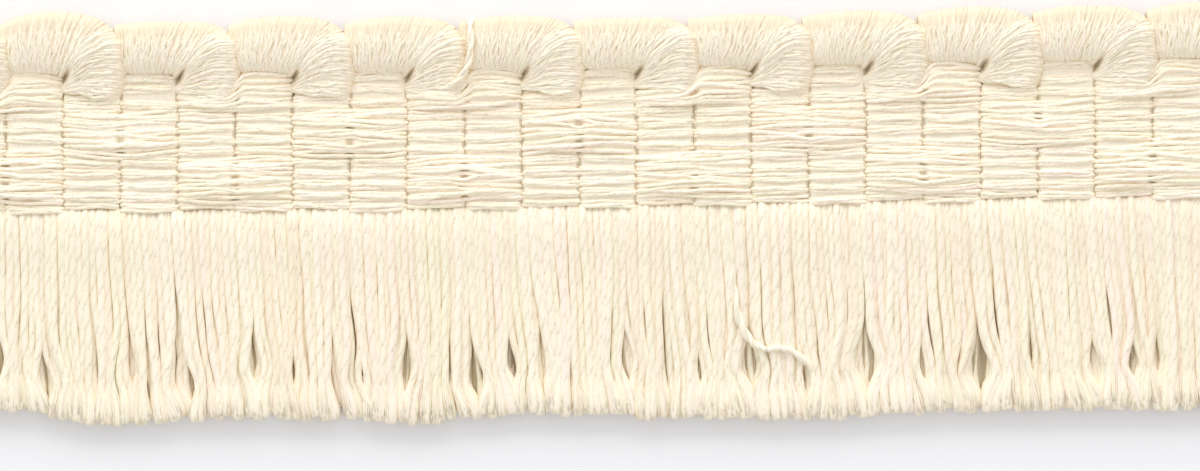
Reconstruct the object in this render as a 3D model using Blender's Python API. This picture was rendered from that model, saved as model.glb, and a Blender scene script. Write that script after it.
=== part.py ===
"""A cut length of brush fringe trim that lies flat on its back, with its face up.

X runs along the trim. +Y points to the turned-over loops and -Y to the cut ends. Before it is
centred, y is 0 near the heading's lower edge, and z is 0 on the flat back.
Columns are numbered from the left. Even ones are tall and odd ones are short, and a deep groove
parts each tall column from the short one on its right.
"""

import math
import random
from collections import namedtuple

import bmesh
import bpy

MM = 0.001
TRIM_NAME = "brush_fringe_trim"
SHARP_ANGLE = math.radians(50)

# Driving dimensions
COLUMNS = 24
COLUMN_PITCH = 10.75 * MM
HALF_GROOVE_WIDTH = 0.43 * MM
GROOVE_HEIGHT = 2.2 * MM
BOUND_CROWN = 4.3 * MM
FLOAT_CROWN = 5.0 * MM
CLEARANCE = 0.35 * MM
STEP_CLEARANCE = 0.3 * MM

# A gentle bend: the trim rises towards its right end
BEND_SLOPE = 0.018
BEND_CENTRE = -45 * MM
BEND_SPREAD = 30 * MM

# Rows of the heading from its lower edge to its upper one. rise is the share of the crown.
HeadingRow = namedtuple("HeadingRow", "tall_mm short_mm band rise")
HEADING_ROWS = [
    HeadingRow(-0.2, 1.1, "bottom", 0.35),
    HeadingRow(0.4, 1.6, "bottom", 0.85),
    HeadingRow(2.4, 2.4, "bottom", 0.8),
    HeadingRow(3.6, 3.6, "bottom", 1.0),
    HeadingRow(9.7, 9.7, "bottom", 1.0),
    HeadingRow(10.9, 10.9, "bottom", 0.8),
    HeadingRow(12.1, 12.1, "middle", 1.0),
    HeadingRow(18.3, 18.3, "middle", 1.0),
    HeadingRow(19.5, 19.5, "middle", 0.8),
    HeadingRow(20.7, 20.2, "top", 1.0),
    HeadingRow(26.6, 22.3, "top", 1.0),
    HeadingRow(27.6, 23.1, "top", 0.6),
]

# Lines across one column: where they lie, and their share of the crown
ColumnLine = namedtuple("ColumnLine", "place rise")
COLUMN_LINES = [
    ColumnLine(HALF_GROOVE_WIDTH / COLUMN_PITCH, 0.0),
    ColumnLine(0.27, 1.0),
    ColumnLine(0.73, 1.0),
    ColumnLine(1 - HALF_GROOVE_WIDTH / COLUMN_PITCH, 0.0),
]
FLOAT_OVER_GROOVE = 0.92

# Loops: from the root line at the heading's upper edge to the outline
LOOP_FAN_CELLS = 10
LOOP_TOP_SHARE = 0.7
LOOP_SIDE_Y = 35.6 * MM
LOOP_CROWN_Y = 38.2 * MM
LOOP_RIB = 0.3 * MM
LOOP_ROLL_IN = 0.93
LoopRing = namedtuple("LoopRing", "reach height_mm")
LOOP_RINGS = [
    LoopRing(0.0, 4.0),
    LoopRing(0.3, 6.3),
    LoopRing(0.62, 7.2),
    LoopRing(0.88, 5.9),
    LoopRing(1.0, 3.0),
]
LOOP_LEFT_RISE = 0.8
LOOP_RIGHT_RISE = 0.75

# Fringe: two layers of locks that stand out of one narrow strip
STRANDS_PER_COLUMN = 5
STRAND_MARGIN = 0.25 * MM
STRAND_WIDTH = 1.55 * MM
STRAND_SPACING = 1.72 * MM
STRIP_FRONT_Y = -2.1 * MM
STRIP_LEVELS = [0.0, 1.35 * MM, 1.7 * MM, 3.3 * MM]
LOWER_LEVEL = 0
UPPER_LEVEL = 2
LAYER_SHIFT = 0.45 * MM
SWAY_POWER = 1.3
RAGGED = 0.7 * MM
SEED = 7

# Sections along a strand: how far along, width, and the lower and upper layer's heights
StrandSection = namedtuple("StrandSection", "along width_mm low_top_mm high_base_mm high_top_mm")
STRAND_SECTIONS = [
    StrandSection(0.3, 1.5, 1.35, 1.9, 3.6),
    StrandSection(0.68, 1.35, 1.25, 1.75, 3.2),
    StrandSection(1.0, 1.5, 1.1, 1.5, 2.5),
]

# Locks from left to right: where the right side of each lies at the roots and at the tips, the
# opening to the next lock at the tips, and how far its tips lie below y = 0
Lock = namedtuple("Lock", "root_mm tip_mm gap_mm length_mm")
LOCKS = [
    Lock(-118.3, -118.0, 0.8, 37.9),
    Lock(-109.5, -108.6, 1.0, 36.8),
    Lock(-101.5, -100.1, 1.2, 36.9),
    Lock(-91.7, -90.8, 0.5, 38.5),
    Lock(-86.1, -83.8, 1.2, 39.6),
    Lock(-76.0, -72.6, 1.4, 39.2),
    Lock(-62.3, -60.6, 1.3, 38.2),
    Lock(-53.8, -51.8, 0.8, 38.3),
    Lock(-43.5, -40.3, 1.0, 38.5),
    Lock(-33.6, -32.3, 1.1, 39.4),
    Lock(-21.0, -18.2, 1.2, 39.5),
    Lock(-13.9, -11.8, 1.3, 38.0),
    Lock(-9.2, -6.4, 0.8, 38.0),
    Lock(0.2, 2.0, 0.5, 38.2),
    Lock(8.0, 9.5, 1.1, 38.6),
    Lock(15.9, 17.4, 0.6, 39.3),
    Lock(20.8, 23.0, 0.9, 39.0),
    Lock(30.5, 33.5, 1.8, 39.5),
    Lock(40.5, 42.2, 0.9, 39.6),
    Lock(53.0, 54.9, 2.0, 39.9),
    Lock(63.0, 65.2, 0.9, 39.3),
    Lock(73.3, 75.6, 1.9, 39.1),
    Lock(82.7, 86.4, 0.6, 38.9),
    Lock(93.9, 97.7, 1.3, 39.1),
    Lock(101.4, 104.2, 1.7, 39.0),
    Lock(107.0, 109.3, 0.8, 38.9),
    Lock(118.3, 119.8, 0.8, 39.4),
    Lock(129.0, 128.8, 0.0, 39.7),
]


def column_left(column):
    """x of a column's left side."""
    return (column - COLUMNS / 2) * COLUMN_PITCH


def bend(x):
    """How far the trim has risen at x."""
    past = x - BEND_CENTRE
    return BEND_SLOPE * (math.hypot(past, BEND_SPREAD) + past) / 2


def bent(x, y, z):
    return (x, y + bend(x), z)


def mix(a, b, share):
    return a + (b - a) * share


def new_material(name, colour, roughness):
    material = bpy.data.materials.new(name)
    material.use_nodes = True
    shader = material.node_tree.nodes["Principled BSDF"]
    shader.inputs["Base Color"].default_value = (*colour, 1.0)
    shader.inputs["Roughness"].default_value = roughness
    shader.inputs["Metallic"].default_value = 0.0
    return material


def new_part(name, bm, collection, material):
    """The object of a finished bmesh, with faces of over four corners split well."""
    wide = [face for face in bm.faces if len(face.verts) > 4]
    bmesh.ops.triangulate(bm, faces=wide, quad_method="BEAUTY", ngon_method="BEAUTY")
    bmesh.ops.recalc_face_normals(bm, faces=bm.faces[:])
    mesh = bpy.data.meshes.new(name)
    bm.to_mesh(mesh)
    bm.free()
    mesh.materials.append(material)
    mesh.shade_smooth()
    mesh.set_sharp_from_angle(angle=SHARP_ANGLE)
    part = bpy.data.objects.new(name, mesh)
    collection.objects.link(part)
    return part


def doubled_grid(bm, x_cells, y_cells):
    """A grid and its extruded copy, still in one place. Gives the (i, j) of each one's points."""
    bmesh.ops.create_grid(bm, x_segments=x_cells, y_segments=y_cells, size=0.5)
    top = {v: (round((v.co.x + 0.5) * x_cells), round((v.co.y + 0.5) * y_cells)) for v in bm.verts}
    grown = bmesh.ops.extrude_face_region(bm, geom=bm.faces[:])["geom"]
    under = {
        v: (round((v.co.x + 0.5) * x_cells), round((v.co.y + 0.5) * y_cells))
        for v in grown
        if isinstance(v, bmesh.types.BMVert)
    }
    return top, under


def relief_slab(x_cells, y_cells, top_point, under_point):
    """A closed slab with a relief on top and long plain faces underneath."""
    bm = bmesh.new()
    top, under = doubled_grid(bm, x_cells, y_cells)
    cross_lines = [
        edge
        for edge in bm.edges
        if edge.verts[0] in under
        and edge.verts[1] in under
        and under[edge.verts[0]][1] == under[edge.verts[1]][1]
        and 0 < under[edge.verts[0]][1] < y_cells
    ]
    for vert, (i, j) in top.items():
        vert.co = top_point(i, j)
    for vert, (i, j) in under.items():
        vert.co = under_point(i, j)
    bmesh.ops.dissolve_edges(bm, edges=cross_lines, use_verts=True)
    return bm


# Heading
def is_float(column, band):
    """Whether the yarns of this band pass over the groove inside the column's block."""
    block = (column - 1) // 2
    return (band == "middle") == (block % 2 == 1)


def heading_place(line, row):
    """Column, its line, and the point's x and y before the bend."""
    column, place = divmod(line, len(COLUMN_LINES))
    y_mm = HEADING_ROWS[row].short_mm if column % 2 else HEADING_ROWS[row].tall_mm
    return column, place, column_left(column) + COLUMN_LINES[place].place * COLUMN_PITCH, y_mm * MM


def heading_top(line, row):
    column, place, x, y = heading_place(line, row)
    floats = is_float(column, HEADING_ROWS[row].band)
    crown = FLOAT_CROWN if floats else BOUND_CROWN
    rise = COLUMN_LINES[place].rise
    inner_side = 0 if column % 2 == 0 else len(COLUMN_LINES) - 1
    if floats and place == inner_side:
        rise = FLOAT_OVER_GROOVE
    height = mix(GROOVE_HEIGHT, crown, rise * HEADING_ROWS[row].rise)
    return bent(x, y, height)


def heading_under(line, row):
    _, _, x, y = heading_place(line, row)
    return bent(x, y, 0.0)


def make_heading(collection, material):
    lines = COLUMNS * len(COLUMN_LINES)
    bm = relief_slab(lines - 1, len(HEADING_ROWS) - 1, heading_top, heading_under)
    return new_part("heading", bm, collection, material)


# Loops
def loop_root(groove_x, share):
    """Where a strand leaves: along the tall column's edge, then down the step to the short one."""
    tall_y = HEADING_ROWS[-1].tall_mm * MM + CLEARANCE
    short_y = HEADING_ROWS[-1].short_mm * MM + CLEARANCE
    left_x = groove_x - COLUMN_PITCH + CLEARANCE / 2
    step_x = groove_x - HALF_GROOVE_WIDTH + STEP_CLEARANCE
    if share <= 0.5:
        return mix(left_x, step_x, share * 2), tall_y
    down = share * 2 - 1
    return mix(step_x, step_x + 2 * HALF_GROOVE_WIDTH, down), mix(tall_y, short_y, down)


def loop_outline(groove_x, share):
    """Where a strand rolls over: along the top, then down the right side."""
    tall_y = HEADING_ROWS[-1].tall_mm * MM + CLEARANCE
    short_y = HEADING_ROWS[-1].short_mm * MM + CLEARANCE
    left_x = groove_x - COLUMN_PITCH + CLEARANCE / 2
    right_x = groove_x + COLUMN_PITCH - CLEARANCE / 2
    if share <= LOOP_TOP_SHARE:
        over = share / LOOP_TOP_SHARE
        return mix(left_x, right_x, over), mix(LOOP_SIDE_Y, LOOP_CROWN_Y, math.sin(math.pi * over))
    down = (share - LOOP_TOP_SHARE) / (1 - LOOP_TOP_SHARE)
    y = mix(LOOP_SIDE_Y, short_y, down)
    if y < tall_y:
        right_x -= HALF_GROOVE_WIDTH + CLEARANCE / 2
    return right_x, y


def loop_point(groove_x, share, reach):
    root_x, root_y = loop_root(groove_x, share)
    rim_x, rim_y = loop_outline(groove_x, share)
    return mix(root_x, rim_x, reach), mix(root_y, rim_y, reach)


def make_loop(number, collection, material):
    """One puff, a pillow of strands that fan out from its deep groove."""
    groove_x = column_left(2 * number + 1)

    def top(i, j):
        share = i / LOOP_FAN_CELLS
        ring = LOOP_RINGS[j]
        x, y = loop_point(groove_x, share, ring.reach)
        side = 1.0
        if i == 0:
            side = LOOP_LEFT_RISE
        elif i == LOOP_FAN_CELLS:
            side = LOOP_RIGHT_RISE
        rib = LOOP_RIB * (1 if i % 2 else -1)
        return bent(x, y, ring.height_mm * MM * side + rib)

    def under(i, j):
        reach = min(LOOP_RINGS[j].reach, LOOP_ROLL_IN)
        x, y = loop_point(groove_x, i / LOOP_FAN_CELLS, reach)
        return bent(x, y, 0.0)

    bm = relief_slab(LOOP_FAN_CELLS, len(LOOP_RINGS) - 1, top, under)
    return new_part(f"loop_{number + 1:02d}", bm, collection, material)


# Fringe
def strand_roots():
    """x of each strand's middle at the strip."""
    pitch = (COLUMN_PITCH - 2 * STRAND_MARGIN) / STRANDS_PER_COLUMN
    return [
        column_left(column) + STRAND_MARGIN + (place + 0.5) * pitch
        for column in range(COLUMNS)
        for place in range(STRANDS_PER_COLUMN)
    ]


def tip_of(root_x):
    """The x of a strand's tip and its lock's length, read from the lock that holds its root."""
    left = Lock(column_left(0) / MM, column_left(0) / MM, 0.0, 0.0)
    for lock in LOCKS:
        if root_x <= lock.root_mm * MM or lock is LOCKS[-1]:
            break
        left = lock
    share = (root_x / MM - left.root_mm) / (lock.root_mm - left.root_mm)
    tip_left = left.tip_mm + left.gap_mm / 2
    tip_right = lock.tip_mm - lock.gap_mm / 2
    return mix(tip_left, tip_right, share) * MM, lock.length_mm * MM


def kept_apart(places):
    """The same places, each at least one strand's spacing past the last."""
    for index in range(1, len(places)):
        places[index] = max(places[index], places[index - 1] + STRAND_SPACING)
    return places


def strip_back_y(x, column):
    """The strip's edge under the heading, which steps with the columns."""
    row = HEADING_ROWS[0]
    return (row.short_mm if column % 2 else row.tall_mm) * MM - CLEARANCE


def strip_back(line):
    """Back point of a line: None where the back needs none, else its x and y."""
    last = 2 * COLUMNS * STRANDS_PER_COLUMN + 1
    if line in (0, last):
        column = 0 if line == 0 else COLUMNS - 1
        x = column_left(0) if line == 0 else column_left(COLUMNS)
        return x, strip_back_y(x, column)
    column, place = divmod(line - 1, 2 * STRANDS_PER_COLUMN)
    if place == 0 and column > 0:
        x = column_left(column) + HALF_GROOVE_WIDTH
        x += CLEARANCE if column % 2 else -CLEARANCE
    elif place == 2 * STRANDS_PER_COLUMN - 1 and column < COLUMNS - 1:
        x = column_left(column + 1) - HALF_GROOVE_WIDTH
        x += -CLEARANCE if column % 2 else CLEARANCE
    else:
        return None
    return x, strip_back_y(x, column)


def make_strip(roots):
    """The strip with a face for each strand's root. Gives the bmesh and the front's points."""
    bm = bmesh.new()
    cells = 2 * len(roots) + 1
    levels = len(STRIP_LEVELS) - 1
    front, back = doubled_grid(bm, cells, levels)
    spare = []
    for edge in bm.edges:
        a, b = edge.verts
        in_back = [vert for vert in (a, b) if vert in back]
        if not in_back:
            continue
        line, level = back[in_back[0]]
        along = len(in_back) == 2 and back[a][1] == back[b][1]
        if along and 0 < level < levels:
            spare.append(edge)
        elif not along and strip_back(line) is None:
            spare.append(edge)
    for vert, (line, level) in front.items():
        if line in (0, cells):
            x = column_left(0) if line == 0 else column_left(COLUMNS)
        else:
            strand, side = divmod(line - 1, 2)
            x = roots[strand] + STRAND_WIDTH * (side - 0.5)
        vert.co = bent(x, STRIP_FRONT_Y, STRIP_LEVELS[level])
    for vert, (line, level) in back.items():
        place = strip_back(line)
        if place is not None:
            vert.co = bent(*place, STRIP_LEVELS[level])
    bmesh.ops.dissolve_edges(bm, edges=spare, use_verts=True)
    return bm, front


def grow_strand(bm, face, sections):
    """Extrudes a root face through sections of (x, y, width, base, top)."""
    for x, y, width, base, top in sections:
        middle = face.calc_center_median()
        face = bmesh.ops.extrude_discrete_faces(bm, faces=[face])["faces"][0]
        for vert in face.verts:
            side = 0.5 if vert.co.x > middle.x else -0.5
            height = top if vert.co.z > middle.z else base
            vert.co = bent(x + side * width, y, height)


def make_fringe(collection, material):
    draw = random.Random(SEED)
    roots = strand_roots()
    bm, front = make_strip(roots)
    faces = {}
    for face in bm.faces:
        if all(vert in front for vert in face.verts):
            line = min(front[vert][0] for vert in face.verts)
            level = min(front[vert][1] for vert in face.verts)
            if line % 2 == 1 and level in (LOWER_LEVEL, UPPER_LEVEL):
                faces[(line - 1) // 2, level] = face
    for level in (LOWER_LEVEL, UPPER_LEVEL):
        upper = level == UPPER_LEVEL
        shift = LAYER_SHIFT if upper else -LAYER_SHIFT
        tips = [tip_of(x) for x in roots]
        ends = [-(length + draw.uniform(-RAGGED, RAGGED)) for _, length in tips]
        rows = []
        for section in STRAND_SECTIONS:
            sway = section.along**SWAY_POWER
            sideways = shift * math.sin(math.pi * section.along)
            rows.append(kept_apart([mix(x, tip, sway) + sideways for x, (tip, _) in zip(roots, tips)]))
        for strand, end in enumerate(ends):
            sections = []
            for section, places in zip(STRAND_SECTIONS, rows):
                y = mix(STRIP_FRONT_Y, end, section.along)
                base = section.high_base_mm * MM if upper else 0.0
                top = (section.high_top_mm if upper else section.low_top_mm) * MM
                sections.append((places[strand], y, section.width_mm * MM, base, top))
            grow_strand(bm, faces[strand, level], sections)
    return new_part("fringe", bm, collection, material)


def centre_on_origin(parts):
    """Moves the parts so that their common box has its bottom centre at the origin."""
    corners = [vert.co for part in parts for vert in part.data.vertices]
    middle_x = (min(c.x for c in corners) + max(c.x for c in corners)) / 2
    middle_y = (min(c.y for c in corners) + max(c.y for c in corners)) / 2
    for part in parts:
        part.location = (-middle_x, -middle_y, 0.0)


def main():
    for old in list(bpy.data.objects):
        bpy.data.objects.remove(old)
    collection = bpy.data.collections.new(TRIM_NAME)
    bpy.context.scene.collection.children.link(collection)
    heading_yarn = new_material("heading_yarn", (0.88, 0.80, 0.65), 0.85)
    loop_yarn = new_material("loop_yarn", (0.92, 0.85, 0.70), 0.8)
    fringe_yarn = new_material("fringe_yarn", (0.90, 0.83, 0.68), 0.85)
    parts = [make_heading(collection, heading_yarn)]
    parts += [make_loop(number, collection, loop_yarn) for number in range(COLUMNS // 2)]
    parts.append(make_fringe(collection, fringe_yarn))
    centre_on_origin(parts)


main()
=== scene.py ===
import math
from collections import namedtuple

import bpy
import numpy as np
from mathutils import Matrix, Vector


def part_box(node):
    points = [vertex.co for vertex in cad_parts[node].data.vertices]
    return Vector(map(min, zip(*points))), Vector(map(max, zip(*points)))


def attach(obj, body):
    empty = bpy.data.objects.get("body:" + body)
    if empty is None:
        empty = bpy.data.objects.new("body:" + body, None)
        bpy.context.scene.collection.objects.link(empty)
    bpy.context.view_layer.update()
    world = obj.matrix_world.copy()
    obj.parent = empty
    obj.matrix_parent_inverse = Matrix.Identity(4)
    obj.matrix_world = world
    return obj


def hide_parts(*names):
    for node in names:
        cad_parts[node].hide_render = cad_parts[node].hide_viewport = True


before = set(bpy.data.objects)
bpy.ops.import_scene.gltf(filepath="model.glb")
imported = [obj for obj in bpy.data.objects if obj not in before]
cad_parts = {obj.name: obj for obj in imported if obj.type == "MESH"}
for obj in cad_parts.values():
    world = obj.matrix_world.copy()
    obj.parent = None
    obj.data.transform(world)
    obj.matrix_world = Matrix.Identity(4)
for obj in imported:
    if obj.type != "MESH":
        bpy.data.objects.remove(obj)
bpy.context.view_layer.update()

MM = 0.001

# Sizes that the solids also have
COLUMNS = 24
PITCH = 10.75 * MM
HALF_GROOVE = 0.43 * MM
TALL_LOW, TALL_TOP = -0.2 * MM, 27.6 * MM
SHORT_LOW, SHORT_TOP = 1.1 * MM, 23.1 * MM
BOTTOM_BAND = (2.4 * MM, 10.9 * MM)
MIDDLE_BAND = (10.9 * MM, 19.5 * MM)
TOP_BAND_LOW = 19.5 * MM
BEND_SLOPE = 0.018
BEND_CENTRE = -45 * MM
BEND_SPREAD = 30 * MM

# Locks from left to right: where the right side of each lies at the roots and at the tips, the
# opening to the next lock, and how far its tips lie below y = 0
Lock = namedtuple("Lock", "root_mm tip_mm gap_mm length_mm")
LOCKS = [
    Lock(-118.3, -118.0, 0.8, 37.9),
    Lock(-109.5, -108.6, 1.0, 36.8),
    Lock(-101.5, -100.1, 1.2, 36.9),
    Lock(-91.7, -90.8, 0.5, 38.5),
    Lock(-86.1, -83.8, 1.2, 39.6),
    Lock(-76.0, -72.6, 1.4, 39.2),
    Lock(-62.3, -60.6, 1.3, 38.2),
    Lock(-53.8, -51.8, 0.8, 38.3),
    Lock(-43.5, -40.3, 1.0, 38.5),
    Lock(-33.6, -32.3, 1.1, 39.4),
    Lock(-21.0, -18.2, 1.2, 39.5),
    Lock(-13.9, -11.8, 1.3, 38.0),
    Lock(-9.2, -6.4, 0.8, 38.0),
    Lock(0.2, 2.0, 0.5, 38.2),
    Lock(8.0, 9.5, 1.1, 38.6),
    Lock(15.9, 17.4, 0.6, 39.3),
    Lock(20.8, 23.0, 0.9, 39.0),
    Lock(30.5, 33.5, 1.8, 39.5),
    Lock(40.5, 42.2, 0.9, 39.6),
    Lock(53.0, 54.9, 2.0, 39.9),
    Lock(63.0, 65.2, 0.9, 39.3),
    Lock(73.3, 75.6, 1.9, 39.1),
    Lock(82.7, 86.4, 0.6, 38.9),
    Lock(93.9, 97.7, 1.3, 39.1),
    Lock(101.4, 104.2, 1.7, 39.0),
    Lock(107.0, 109.3, 0.8, 38.9),
    Lock(118.3, 119.8, 0.8, 39.4),
    Lock(129.0, 128.8, 0.0, 39.7),
]

# The photo's size and scale, and the pixel that shows the middle of the straight trim's y = 0
PHOTO_WIDTH, PHOTO_HEIGHT = 1200, 471
PHOTO_SCALE = 0.1875 * MM
PHOTO_MIDDLE_X, PHOTO_BASE_Y = 579.15, 216


def mix(a, b, share):
    return a + (b - a) * share


def smooth(low, high, value):
    share = np.clip((value - low) / (high - low), 0, 1)
    return share * share * (3 - 2 * share)


def bump(place, middle, spread):
    """1 at the middle, falling off to both sides."""
    return np.exp(-(((place - middle) / spread) ** 2))


def arch_of(across, power, root=0.5):
    """0 at both ends of 0 to 1, and near 1 over the width between them."""
    return (1 - np.abs(2 * across - 1) ** power) ** root


Wave = namedtuple("Wave", "size_mm turns")


def swing(wave, along, phase):
    """-1 to 1, in as many turns as the wave makes while along goes from 0 to 1."""
    return np.sin(2 * math.pi * wave.turns * along + phase)


def column_left(column):
    return (column - COLUMNS / 2) * PITCH


def bend(x):
    past = x - BEND_CENTRE
    return BEND_SLOPE * (np.hypot(past, BEND_SPREAD) + past) / 2


# The frame's heading starts at its first tall column's lower left corner
FRAME_SHIFT_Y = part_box("heading")[0].y - (TALL_LOW + bend(column_left(0) + HALF_GROOVE))


def settle(points):
    """Points of the straight trim, bent and placed on the frame."""
    placed = points.copy()
    placed[:, 1] += bend(points[:, 0]) + FRAME_SHIFT_Y
    placed[:, 2] = np.maximum(placed[:, 2], 0)
    return placed


def unit(vectors):
    return vectors / np.maximum(np.linalg.norm(vectors, axis=-1, keepdims=True), 1e-12)


# Where a tube starts in the fibre pattern, in mm for each point that its mesh had before and for
# each yarn before it in the same call, so that no two look alike
FIBRE_STEP_PER_POINT = 0.013
FIBRE_STEP_PER_YARN = 7.31
SLAB_FIBRE_STRETCH = (1, 2.2, 1)


class YarnMesh:
    """Collects closed tubes and slabs, and makes one mesh of them. The attribute fibre is how far
    along its tube a point is, in mm, and the cosine and sine of its place around it. On a slab it
    is the point's y, x and z in mm, with x stretched. The attribute twist is 1 where the plies
    hold together, and 0 where they have come apart and on slabs."""

    def __init__(self):
        self.points, self.fibre, self.tint, self.twist, self.faces = [], [], [], [], []
        self.count = 0

    def add(self, paths, side, radius, tint, sides=8, twist=1.0):
        """Tubes along paths (yarns, rings, 3). side is a direction across each path."""
        yarns, rings = paths.shape[:2]
        tangent = unit(np.gradient(paths, axis=1))
        side = np.broadcast_to(np.asarray(side, float), (yarns, 3))[:, None, :]
        across = unit(side - (side * tangent).sum(-1, keepdims=True) * tangent)
        normal = np.cross(tangent, across)
        steps = np.linalg.norm(np.diff(paths, axis=1), axis=-1)
        along = np.concatenate([np.zeros((yarns, 1)), np.cumsum(steps, axis=1)], axis=1)
        spoke = 2 * math.pi * np.arange(sides) / sides
        reach = np.broadcast_to(np.asarray(radius, float), (yarns, rings))[:, :, None, None]
        ring = np.cos(spoke)[:, None] * across[:, :, None, :]
        ring = ring + np.sin(spoke)[:, None] * normal[:, :, None, :]
        points = paths[:, :, None, :] + reach * ring
        fibre = np.empty(points.shape)
        start = self.count * FIBRE_STEP_PER_POINT + np.arange(yarns) * FIBRE_STEP_PER_YARN
        fibre[..., 0] = along[:, :, None] / MM + start[:, None, None]
        fibre[..., 1] = np.cos(spoke)
        fibre[..., 2] = np.sin(spoke)
        self.points.append(points.reshape(-1, 3))
        self.fibre.append(fibre.reshape(-1, 3))
        shade = np.broadcast_to(np.asarray(tint, float).reshape(yarns, -1), (yarns, rings))
        self.tint.append(np.repeat(shade.ravel(), sides))
        held = np.broadcast_to(np.asarray(twist, float), (yarns, rings))
        self.twist.append(np.repeat(held.ravel(), sides))
        first = self.count + np.arange(yarns)[:, None, None] * rings * sides
        row = first + np.arange(rings - 1)[None, :, None] * sides
        here = np.arange(sides)
        after = (here + 1) % sides
        quads = np.stack([row + here, row + after, row + sides + after, row + sides + here], axis=-1)
        self.faces.append(quads.reshape(-1, 4))
        self.faces.append(first[:, 0] + here[::-1])
        self.faces.append(first[:, 0] + (rings - 1) * sides + here)
        self.count += yarns * rings * sides

    def add_slab(self, top, base_z, tint):
        """A closed slab from a grid of top points and the height of its flat base."""
        wide, deep = top.shape[:2]
        number = np.arange(wide * deep).reshape(wide, deep)
        rim = np.concatenate([number[:, 0], number[-1, 1:], number[-2::-1, -1], number[0, -2:0:-1]])
        top = top.reshape(-1, 3)
        base = top[rim].copy()
        base[:, 2] = base_z
        under = wide * deep + np.arange(len(rim))
        points = np.concatenate([top, base])
        shades = np.broadcast_to(np.asarray(tint, float), len(top))
        self.points.append(points)
        self.fibre.append(points[:, [1, 0, 2]] * SLAB_FIBRE_STRETCH / MM)
        self.tint.append(np.concatenate([shades, shades[rim]]))
        self.twist.append(np.zeros(len(points)))
        quads = np.stack([number[:-1, :-1], number[1:, :-1], number[1:, 1:], number[:-1, 1:]], -1)
        sides = np.stack([np.roll(rim, -1), rim, under, np.roll(under, -1)], -1)
        self.faces.append(self.count + quads.reshape(-1, 4))
        self.faces.append(self.count + sides)
        self.faces.append(self.count + under[None, ::-1])
        self.count += len(points)

    def build(self, name, material):
        mesh = bpy.data.meshes.new(name)
        points = settle(np.concatenate(self.points))
        corners = np.concatenate([faces.ravel() for faces in self.faces])
        sizes = np.concatenate([np.full(len(faces), faces.shape[1]) for faces in self.faces])
        mesh.vertices.add(len(points))
        mesh.vertices.foreach_set("co", points.astype(np.float32).ravel())
        mesh.loops.add(len(corners))
        mesh.loops.foreach_set("vertex_index", corners.astype(np.int32))
        mesh.polygons.add(len(sizes))
        starts = np.concatenate([[0], np.cumsum(sizes)[:-1]])
        mesh.polygons.foreach_set("loop_start", starts.astype(np.int32))
        mesh.update(calc_edges=True)
        fibre = mesh.attributes.new("fibre", "FLOAT_VECTOR", "POINT")
        fibre.data.foreach_set("vector", np.concatenate(self.fibre).astype(np.float32).ravel())
        for label, values in (("tint", self.tint), ("twist", self.twist)):
            attribute = mesh.attributes.new(label, "FLOAT", "POINT")
            attribute.data.foreach_set("value", np.concatenate(values).astype(np.float32))
        mesh.shade_smooth()
        mesh.materials.append(material)
        piece = bpy.data.objects.new(name, mesh)
        bpy.context.scene.collection.objects.link(piece)
        return piece


def finish_piece(piece, slot, *nodes):
    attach(piece, "root")
    if nodes:
        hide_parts(*nodes)
    return piece


# Materials. A tint runs from 0, a brown of painted shade for deep gaps, over four creams to 1.
CREAMS = [
    (0.0, (0.40, 0.32, 0.19)),
    (0.2, (0.935, 0.822, 0.65)),
    (0.5, (0.965, 0.885, 0.742)),
    (0.75, (0.93, 0.872, 0.688)),
    (1.0, (0.975, 0.852, 0.742)),
]
# The colour of the flecks, and of the painted shade in the lines between plies
FLECK_AND_PLY_SHADE_COLOUR = (0.67, 0.57, 0.41)
YARN_ROUGHNESS, YARN_SPECULAR = 0.85, 0.25
PLIES = 2.0
VALLEY_GAIN, VALLEY_CUT, VALLEY_BLEND = 1.8, -0.8, 0.3
FIBRE_STRETCH = (0.75, 0.7, 0.7)
FLECK_SCALE, FLECK_DETAIL, FLECK_ROUGHNESS = 1.6, 4, 0.65
FLECK_DARKEST_AT, FLECK_NONE_AT = 0.32, 0.52
PATCHY_PART, EVEN_PART = 0.6, 0.4
BUMP_STRENGTH, BUMP_DEPTH = 0.4, 0.1 * MM

# depth scales the colours. ply is how dark the painted shade in the lines between plies is, and streak
# how dark the flecks are.
YarnLook = namedtuple("YarnLook", "name depth turn_mm ply streak")
HEADING_LOOK = YarnLook("heading_yarn_look", 1.02, 3.4, 0.45, 0.48)
BUNDLE_LOOK = YarnLook("bundle_look", 0.98, 50.0, 0.0, 0.3)
# The loops' depth over 1 is painted light: it brightens all their strands against the shade on their
# lower fans
LOOP_LOOK = YarnLook("loop_yarn_look", 1.01, 3.2, 0.5, 0.55)
FRINGE_LOOK = YarnLook("fringe_yarn_look", 0.97, -4.0, 0.6, 0.2)
FRAY_LOOK = YarnLook("fray_look", 0.97, 50.0, 0.0, 0.0)


def maths(nodes, links, operation, *values):
    """A Math node with a value or a socket on each of its inputs."""
    node = nodes.new("ShaderNodeMath")
    node.operation = operation
    for socket, value in zip(node.inputs, values):
        if isinstance(value, (int, float)):
            socket.default_value = value
        else:
            links.new(value, socket)
    return node.outputs[0]


def attribute_node(nodes, name):
    node = nodes.new("ShaderNodeAttribute")
    node.attribute_name = name
    return node


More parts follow.
